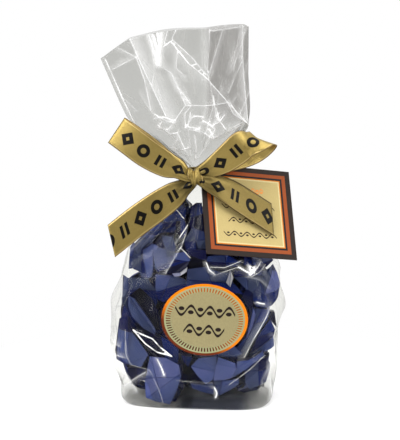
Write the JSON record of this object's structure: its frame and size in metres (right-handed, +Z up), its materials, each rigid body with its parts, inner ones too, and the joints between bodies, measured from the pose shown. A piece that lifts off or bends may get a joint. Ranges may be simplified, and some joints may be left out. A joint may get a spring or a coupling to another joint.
{
  "type": "clear gift bag of wrapped chocolate truffles",
  "caption": "Clear film gift bag of foil-wrapped chocolate truffles, standing on its flat base, tied at the neck with a satin bow, with a square hang tag and an oval label.",
  "frame": {"origin": "on the table under the middle of the bag's flat base", "axes": "+Z up along the bag, -Y the front that carries the label and the bow, +X to the right as seen from the front"},
  "size_m": [0.1311, 0.0805, 0.2564],
  "materials": {
    "wrapper": "navy coated foil with a soft metallic sheen and sharp folds",
    "clear_film": "crisp clear cellophane, glossy, creased",
    "label_paper": "satin gold-beige paper with an orange rim and a ring of ticks",
    "tag_card": "pale gold textured card inside copper and dark brown bands",
    "satin": "gold satin weave with a black printed pattern"
  },
  "bodies": {
    "root": {"bag": "wrapper", "label": "label_paper", "tag": "tag_card", "ribbon": "satin"}
  },
  "joints": []
}
